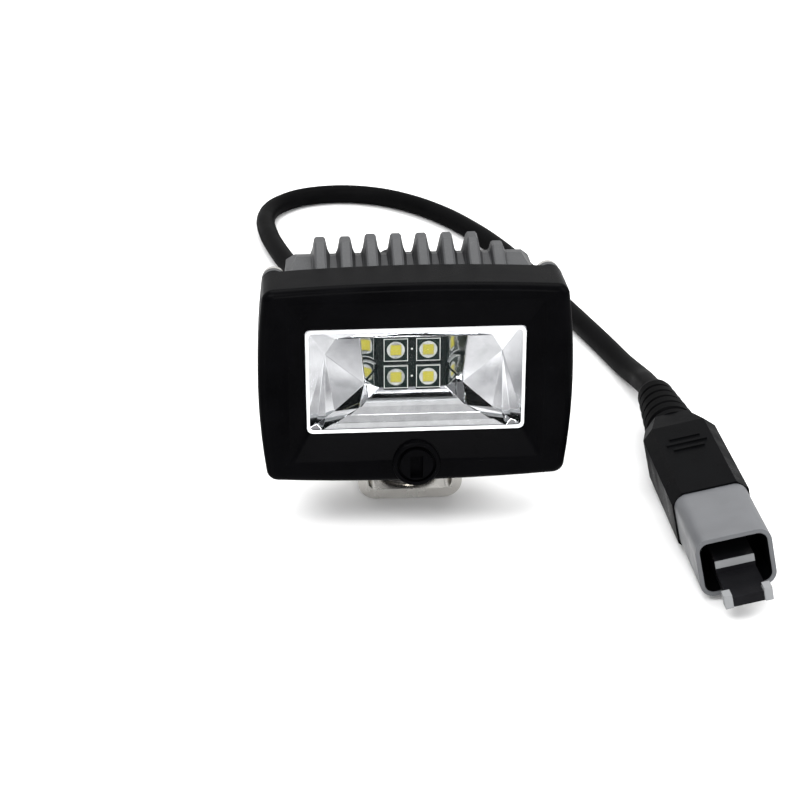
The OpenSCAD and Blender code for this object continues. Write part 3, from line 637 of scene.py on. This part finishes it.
bezel = mesh_piece("bezel_shell", bezel_shell, "lamp", gloss_black)
cut_round(bezel, BOSS_SEAT, FACE_Y - 1 * MM, FACE_Y + BOSS_DEPTH, BOSS_Z)
crisp(bezel, 24)
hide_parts("front_bezel")
boss = mesh_piece("bezel_boss", bezel_boss, "lamp", gloss_black)
crisp(boss, 40)


# ---- reflector -------------------------------------------------------------

REFLECTOR_FRONT = LENS_BACK + 0.1 * MM


def funnel_point(x, share, up):
    """Point of the funnel: x and up in millimetres, share from the board (0) to the lens (1)."""
    return Vector((x * MM, BOARD_FRONT + (REFLECTOR_FRONT - BOARD_FRONT) * share, WINDOW.z + up * MM))


# Corners of the right half of the funnel: millimetres across, share of the depth, millimetres up
THROAT_TOP = (8.1, 0, 5.9)
THROAT_RIDGE = (8.1, 0, -1.9)                 # where the upper ridge starts beside the light sources
THROAT_LOW = (8.0, 0, -7.2)
BOWL_TOP = (13.0, 0.9, 8.7)
BOWL_RIDGE = (11.8, 0.72, -3.6)
LEDGE = (18.6, 0.8, 8.3)
APEX = (21.1, 0.70, 4.1)
FOOT_A = (19.0, 0.78, -10.3)
FOOT_B = (21.2, 0.90, -11.5)
FOOT_C = (23.3, 0.91, -13.0)
RIM_TOP = (26.6, 1, 12.9)
RIM_LOW = (26.6, 1, -14.4)
LOW_RIDGE_MID = (13.1, 0.55, -10.5)
LOW_RIDGE_END = (22.0, 1, -14.4)
SIDE_FACETS = (
    (BOWL_TOP, BOWL_RIDGE, APEX), (BOWL_RIDGE, FOOT_A, APEX),
    (APEX, FOOT_A, FOOT_B), (APEX, FOOT_B, FOOT_C),
    (APEX, FOOT_C, RIM_LOW), (APEX, RIM_LOW, RIM_TOP), (BOWL_TOP, APEX, LEDGE), (LEDGE, APEX, RIM_TOP),
    (THROAT_RIDGE, BOWL_RIDGE, THROAT_LOW), (BOWL_RIDGE, LOW_RIDGE_MID, THROAT_LOW),
    (BOWL_RIDGE, FOOT_A, LOW_RIDGE_MID), (FOOT_A, FOOT_B, LOW_RIDGE_MID),
    (FOOT_B, LOW_RIDGE_END, LOW_RIDGE_MID),
    (FOOT_B, FOOT_C, LOW_RIDGE_END), (FOOT_C, RIM_LOW, LOW_RIDGE_END),
)
BAND_SHARES = (0, 0.3, 0.52, 0.7, 0.86, 1)    # where the floor steps, from the board forward
BAND_STEP = 0.5                               # how far each band's front dips below the ridge, millimetres


def between(a, b, share):
    return tuple(p + (q - p) * share for p, q in zip(a, b))


def low_ridge(share):
    """Point of the lower ridge at a share of the depth."""
    if share < LOW_RIDGE_MID[1]:
        return between(THROAT_LOW, LOW_RIDGE_MID, share / LOW_RIDGE_MID[1])
    return between(LOW_RIDGE_MID, LOW_RIDGE_END, (share - LOW_RIDGE_MID[1]) / (1 - LOW_RIDGE_MID[1]))


def funnel_facets(work):
    """Flat mirrors: ceiling, stepped floor, and on each side a fan and two ridges."""
    def face(*corners):
        work.faces.new([work.verts.new(funnel_point(*c)) for c in corners])

    def mirrored(corner):
        return (-corner[0], corner[1], corner[2])

    for facet in SIDE_FACETS:
        face(*facet)
        face(*(mirrored(c) for c in reversed(facet)))
    for near, far in ((BOWL_TOP, LEDGE), (LEDGE, RIM_TOP)):
        face(near, far, mirrored(far), mirrored(near))
    riser = None
    for a, b in zip(BAND_SHARES, BAND_SHARES[1:]):
        back, front = low_ridge(a), low_ridge(b)
        if b < 1:
            front = (front[0], front[1], front[2] - BAND_STEP)
        if riser:
            face(mirrored(riser), riser, back, mirrored(back))
        face(mirrored(back), back, front, mirrored(front))
        riser = front
    bmesh.ops.remove_doubles(work, verts=work.verts, dist=1e-6)


BOWL_STEPS = 10
BOWL_ROWS = 12
BOWL_SWELL = 0.25                             # how far the bowl bulges outward, millimetres
MIRROR_WALL = 0.4 * MM
MIRROR_EDGE = 0.12 * MM


def funnel_bowl(work):
    """Rounded mirror beside and above the light sources, from the board out to the facets."""
    grid = []
    for i in range(BOWL_STEPS + 1):
        u = i / BOWL_STEPS
        top = between(THROAT_TOP, BOWL_TOP, u)
        low = between(THROAT_RIDGE, BOWL_RIDGE, u)
        swell = BOWL_SWELL * math.sin(math.pi * u) ** 0.8
        column = []
        for j in range(BOWL_ROWS + 1):
            v = j / BOWL_ROWS
            x, share, up = between(top, low, v)
            column.append((x + swell * (1 - v ** 3), share, up))
        grid.append([(0.0, top[1], top[2])] + column)
    for side in (1, -1):
        rows = [[work.verts.new(funnel_point(side * x, share, up)) for x, share, up in column]
                for column in grid]
        for a, b in zip(rows, rows[1:]):
            for j in range(len(a) - 1):
                work.faces.new((a[j], a[j + 1], b[j + 1], b[j]))
    bmesh.ops.remove_doubles(work, verts=work.verts, dist=1e-6)


def mirror_shell(name, build, smooth):
    """A thin metallised wall whose mirror side faces the funnel's axis."""
    piece = mesh_piece(name, build, "lamp", chrome, smooth=smooth)
    axis = Vector((0, (REFLECTOR_FRONT + BOARD_FRONT) / 2 - 4 * MM, WINDOW.z))
    work = bmesh.new()
    work.from_mesh(piece.data)
    for facet in work.faces:
        if facet.normal.dot(axis - facet.calc_center_median()) < 0:
            facet.normal_flip()
    work.to_mesh(piece.data)
    work.free()
    wall = piece.modifiers.new("wall", "SOLIDIFY")
    wall.thickness = MIRROR_WALL
    wall.offset = -1
    return piece


facets = mirror_shell("reflector_facets", funnel_facets, False)
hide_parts("reflector")
bevelled(facets, MIRROR_EDGE, 3)
bowl = mirror_shell("reflector_bowl", funnel_bowl, True)
crisp(bowl, 50)


# ---- lens rim: a painted highlight -----------------------------------------

def lens_edge_highlight(work):
    """Polished edge of the lens: a narrow raised frame with a sloping inner face, painted white as a highlight
    where the clear edge catches the light.
    """
    profile = ((0.05, 0.3), (0.05, -0.3), (0.2, -0.5), (0.5, -0.5), (0.75, -0.3), (0.8, 0.1))
    loops = []
    for inset, depth in profile:
        outline = bulged(OPENING_W - 2 * inset * MM, OPENING_H - 2 * inset * MM, 0, 0, (1.5 - 0.6 * inset) * MM)
        loops.append(outline_at(LENS_FRONT + depth * MM, WINDOW.z, outline))
    loft(work, loops, ring=True)


rim = mesh_piece("lens_edge_highlight", lens_edge_highlight, "lamp", lens_edge_painted_highlight)
crisp(rim, 50)


# ---- black sleeve in the plug's mouth: painted shade -----------------------

MOUTH_W, MOUTH_H = 15.5 * MM, 12.5 * MM
MOUTH_DEPTH = 17.9 * MM
MOUTH_CORNER = 2.2                            # radius of the mouth's corners, millimetres


def mouth_shade_sleeve(work):
    """Thin black sleeve, with a closed rear end, inside the plug's mouth: painted shade over the shell's inner
    walls.
    """
    turn = Matrix.Rotation(PLUG_ROLL, 3, "Y")
    front = SHELL_FRONT + 0.2 * MM
    back = front + MOUTH_DEPTH - 0.13 * MM
    floor = back - 0.15 * MM                  # 0.2 mm clear of the wedge's rear end
    outside, inside, closed = 0.03, 0.2, 5.9  # millimetres in from the mouth's wall
    centre = Vector((PLUG_MID.x, 0, PLUG_MID.z))
    loops = []
    for inset, y in ((outside, front), (outside, back), (closed, back), (closed, floor), (inside, floor),
                     (inside, front)):
        width, height = MOUTH_W - 2 * inset * MM, MOUTH_H - 2 * inset * MM
        corner = max(0.1 * MM, min((MOUTH_CORNER - inset) * MM, height / 2 - 0.05 * MM))
        outline = bulged(width, height, 0, 0, corner)
        loops.append([centre + turn @ Vector((x, 0, z)) + Vector((0, y, 0)) for x, z in outline])
    loft(work, loops, ring=True)


# painted shade: a black sheet over the mouth's inside, which lies in shadow
shade_sleeve = mesh_piece("mouth_shade_sleeve", mouth_shade_sleeve, "bracket", plug_black)
crisp(shade_sleeve, 40)


# ---- threaded fasteners ----------------------------------------------------

def saw(value):
    """Rises from 0 to 1 and falls back once per unit."""
    return 1 - abs(2 * (value % 1) - 1)


def thread_radius(radius, pitch, along, share):
    """Radius of a screw thread at a place along its axis and a share of a turn."""
    flank = min(1.0, max(0.0, 1.5 * saw(along / pitch - share) - 0.25))
    return radius - 0.55 * pitch * (1 - flank)


def knurl_radius(radius, along, share):
    """Radius of a diamond knurl."""
    turns, pitch, depth = 36, 0.9 * MM, 0.22 * MM
    ridge = min(saw(turns * share + along / pitch), saw(turns * share - along / pitch))
    return radius - depth * (1 - ridge)


def turned(frame_of, stations, sides):
    """Loops of a turned piece: stations are (place along the axis, radius or function of turn share)."""
    loops = []
    for along, radius in stations:
        loop = []
        for j in range(sides):
            share = j / sides
            r = radius(share) if callable(radius) else radius
            loop.append(frame_of(along, r * math.cos(math.tau * share), r * math.sin(math.tau * share)))
        loops.append(loop)
    return loops


def hexagon(flats):
    """Radius of a hexagon at a share of a turn."""
    def radius(share):
        turn = (share * 6) % 1 - 0.5
        return flats / 2 / math.cos(turn * math.pi / 3)
    return radius


def threaded(start, end, radius, pitch, taper):
    """Stations of a threaded stretch, run out to a plain end over a taper."""
    count = round(abs(end - start) / (pitch / 7))
    stations = []
    for i in range(count + 1):
        along = start + (end - start) * i / count
        fade = min(1.0, abs(end - along) / taper)

        def at(share, along=along, fade=fade):
            return min(thread_radius(radius, pitch, along, share), radius - 0.8 * MM * (1 - fade))
        stations.append((along, at))
    return stations


SCREW_LOW, SCREW_HIGH = (Vector(v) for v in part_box("pivot_screw"))
SCREW_HEAD_R = (SCREW_HIGH.z - SCREW_LOW.z) / 2
SCREW_HEAD_H = 6 * MM
SCREW_R = 2.95 * MM


def pivot_screw_shape(work):
    """Socket screw: knurled head with a hexagon socket, plain neck, then thread."""
    head = SCREW_LOW.x
    under = head + SCREW_HEAD_H
    hexes = hexagon(5 * MM)
    stations = [(head + 2.8 * MM, 0.05 * MM), (head + 2.8 * MM, hexes), (head + 0.35 * MM, hexes),
                (head, hexagon(5.6 * MM)), (head, SCREW_HEAD_R - 0.9 * MM),
                (head + 0.5 * MM, SCREW_HEAD_R - 0.4 * MM)]
    rows = 18
    for i in range(rows + 1):
        along = head + 0.8 * MM + (under - head - 1.2 * MM) * i / rows
        stations.append((along, lambda share, along=along: knurl_radius(SCREW_HEAD_R, along, share)))
    stations += [(under - 0.2 * MM, SCREW_HEAD_R - 0.25 * MM), (under, SCREW_HEAD_R - 0.3 * MM),
                 (under, SCREW_R + 0.4 * MM), (under, SCREW_R), (under + 13 * MM, SCREW_R)]
    stations += threaded(under + 14 * MM, SCREW_HIGH.x, SCREW_R, 1.0 * MM, 0.9 * MM)
    stations.append((SCREW_HIGH.x, 0.05 * MM))
    loft(work, turned(lambda a, u, v: (a, PIVOT.y + u, PIVOT.z + v), stations, 144))


BOLT_LOW, BOLT_HIGH = (Vector(v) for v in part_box("carriage_bolt"))
BOLT_HEAD_R = (BOLT_HIGH.x - BOLT_LOW.x) / 2
SHEET_TOP = 2.5 * MM
BOLT_R = 3.94 * MM


def carriage_bolt_shape(work):
    """Mushroom-headed bolt: polished dome, square neck, then thread down to a chamfered end."""
    stations = []
    crown = BOLT_HIGH.z - SHEET_TOP
    rows = 12
    for i in range(rows + 1):
        share = (i + 0.02) / rows
        stations.append((BOLT_HIGH.z - crown * (1 - math.sqrt(max(0.0, 1 - share ** 2)) * 0.96) * 0.9,
                         BOLT_HEAD_R * share if share < 1 else BOLT_HEAD_R))
    stations += [(SHEET_TOP + 0.02 * MM, BOLT_HEAD_R - 0.15 * MM), (SHEET_TOP + 0.02 * MM, BOLT_R + 1.6 * MM)]

    def square(share):
        turn = (share * 4) % 1 - 0.5
        return min(4.0 * MM / math.cos(turn * math.pi / 2), 5.2 * MM)
    stations += [(SHEET_TOP + 0.01 * MM, square), (0.2 * MM, square), (0.1 * MM, BOLT_R - 0.3 * MM)]
    stations += threaded(-0.6 * MM, BOLT_LOW.z, BOLT_R, 1.25 * MM, 1.1 * MM)
    stations.append((BOLT_LOW.z, 0.05 * MM))
    loft(work, turned(lambda a, u, v: (u, v, a), stations, 64))


screw = mesh_piece("pivot_screw_threaded", pivot_screw_shape, "bracket", stainless_x)
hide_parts("pivot_screw")
crisp(screw, 38)
bolt = mesh_piece("carriage_bolt_threaded", carriage_bolt_shape, "bracket", nickel)
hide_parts("carriage_bolt")
crisp(bolt, 38)


# ---- floor, light ----------------------------------------------------------

def make_floor():
    """A white sweep that shows in gloss as patches of grey, so that mirrors keep their contrast."""
    mesh = bpy.data.meshes.new("floor")
    size = 4
    drop = 0.2 * MM                           # keeps the floor clear of what rests on the deck
    corners = [(-size, -size, 0), (size, -size, 0), (size, size, 0), (-size, size, 0)]
    mesh.from_pydata(corners, [], [(0, 1, 2, 3)])
    floor = bpy.data.objects.new("floor", mesh)
    floor.location.z = DECK - drop
    bpy.context.scene.collection.objects.link(floor)
    white = material("floor_white", (0.9, 0.9, 0.9), 0.6, grain=300, bump=0.01, spread=0.01)
    tree = white.node_tree
    shader = tree.nodes["Principled BSDF"]
    under = shader.inputs["Base Color"].links[0].from_socket
    blend = tree.nodes.new("ShaderNodeMixRGB")
    patches = node_of(tree, "ShaderNodeTexNoise", Scale=11.0, Detail=1.5)
    tree.links.new(tree.nodes.new("ShaderNodeTexCoord").outputs["Object"], patches.inputs["Vector"])
    panels = tree.nodes.new("ShaderNodeValToRGB")
    panels.color_ramp.elements[0].position = 0.40
    panels.color_ramp.elements[0].color = (0.14, 0.14, 0.145, 1)
    panels.color_ramp.elements[1].position = 0.60
    panels.color_ramp.elements[1].color = (0.80, 0.80, 0.80, 1)
    tree.links.new(patches.outputs["Fac"], panels.inputs["Fac"])
    tree.links.new(panels.outputs["Color"], blend.inputs["Color2"])
    tree.links.new(tree.nodes.new("ShaderNodeLightPath").outputs["Is Glossy Ray"], blend.inputs["Fac"])
    tree.links.new(under, blend.inputs["Color1"])
    tree.links.new(blend.outputs["Color"], shader.inputs["Base Color"])
    mesh.materials.append(white)


def area_light(name, place, target, size, power):
    data = bpy.data.lights.new(name, "AREA")
    data.shape = "RECTANGLE"
    data.size, data.size_y = size
    data.energy = power
    lamp = bpy.data.objects.new(name, data)
    lamp.location = place
    lamp.rotation_euler = (Vector(target) - Vector(place)).to_track_quat("-Z", "Y").to_euler()
    bpy.context.scene.collection.objects.link(lamp)


def make_world():
    """Bright above, darker low in front, so that metal and mirrors have contrast."""
    world = bpy.data.worlds.new("studio")
    bpy.context.scene.world = world
    world.use_nodes = True
    tree = world.node_tree
    back = tree.nodes["Background"]
    split = tree.nodes.new("ShaderNodeSeparateXYZ")
    tree.links.new(tree.nodes.new("ShaderNodeTexCoord").outputs["Generated"], split.inputs[0])
    height = math_node(tree, "MULTIPLY", split.outputs["Z"], 0.75)
    depth = math_node(tree, "MULTIPLY", split.outputs["Y"], 0.45)
    ranged = node_of(tree, "ShaderNodeMapRange", From_Min=-1.0, From_Max=1.0, To_Min=0.0, To_Max=1.0)
    tree.links.new(math_node(tree, "ADD", height, depth), ranged.inputs["Value"])
    ramp = tree.nodes.new("ShaderNodeValToRGB")
    ramp.color_ramp.elements[0].position = 0.36
    ramp.color_ramp.elements[0].color = (0.06, 0.06, 0.065, 1)
    ramp.color_ramp.elements[1].position = 0.72
    ramp.color_ramp.elements[1].color = (1, 1, 1, 1)
    tree.links.new(ranged.outputs["Result"], ramp.inputs["Fac"])
    tree.links.new(ramp.outputs["Color"], back.inputs["Color"])
    back.inputs["Strength"].default_value = 0.95


LIT = (0, 0, 0.03)
make_floor()
make_world()
area_light("key", (-0.55, -0.75, 1.1), LIT, (0.9, 0.6), 15)
area_light("fill", (0.9, -0.5, 0.7), LIT, (0.6, 0.8), 7)
area_light("top", (0.1, 0.35, 1.2), LIT, (1.2, 0.8), 13)
area_light("front", (0.05, -1.1, 0.42), LIT, (0.5, 0.25), 5)
bpy.context.scene.view_settings.view_transform = "Standard"
